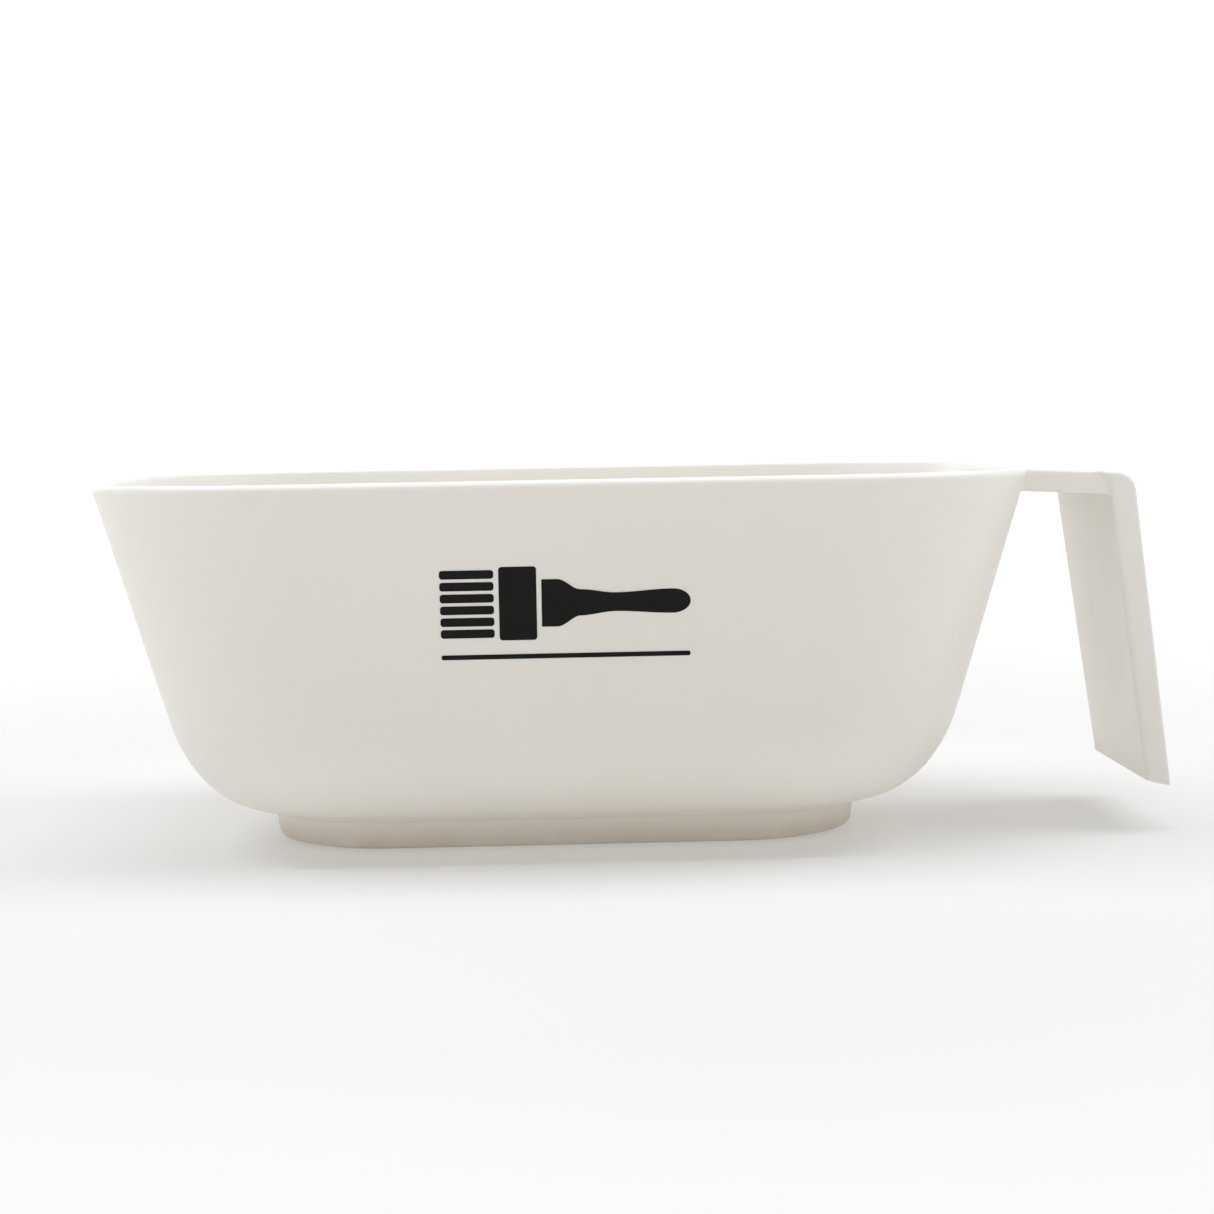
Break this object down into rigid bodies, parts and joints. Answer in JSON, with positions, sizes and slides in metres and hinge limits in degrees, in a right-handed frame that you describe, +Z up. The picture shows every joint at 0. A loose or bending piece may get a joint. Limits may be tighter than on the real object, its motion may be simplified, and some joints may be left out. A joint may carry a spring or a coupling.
{
  "type": "hair color bowl",
  "caption": "Salon tint bowl: a long rounded vessel with leaning walls, a raised foot and a strap handle that turns down into a finger grip.",
  "frame": {"origin": "on the table under the middle of the bowl's foot", "axes": "+Z up; +X along the bowl towards the handle; the printed side faces -Y"},
  "size_m": [0.1749, 0.1024, 0.061],
  "materials": {
    "bowl_plastic": "satin",
    "handle_plastic": "satin",
    "foot_plastic": "satin",
    "grip_rubber": "matte",
    "print_ink": "satin"
  },
  "bodies": {
    "root": {"bowl_shell": "bowl_plastic", "handle": "handle_plastic", "foot_ring": "foot_plastic", "grip_ring": "grip_rubber", "printed_mark": "print_ink"}
  },
  "joints": []
}
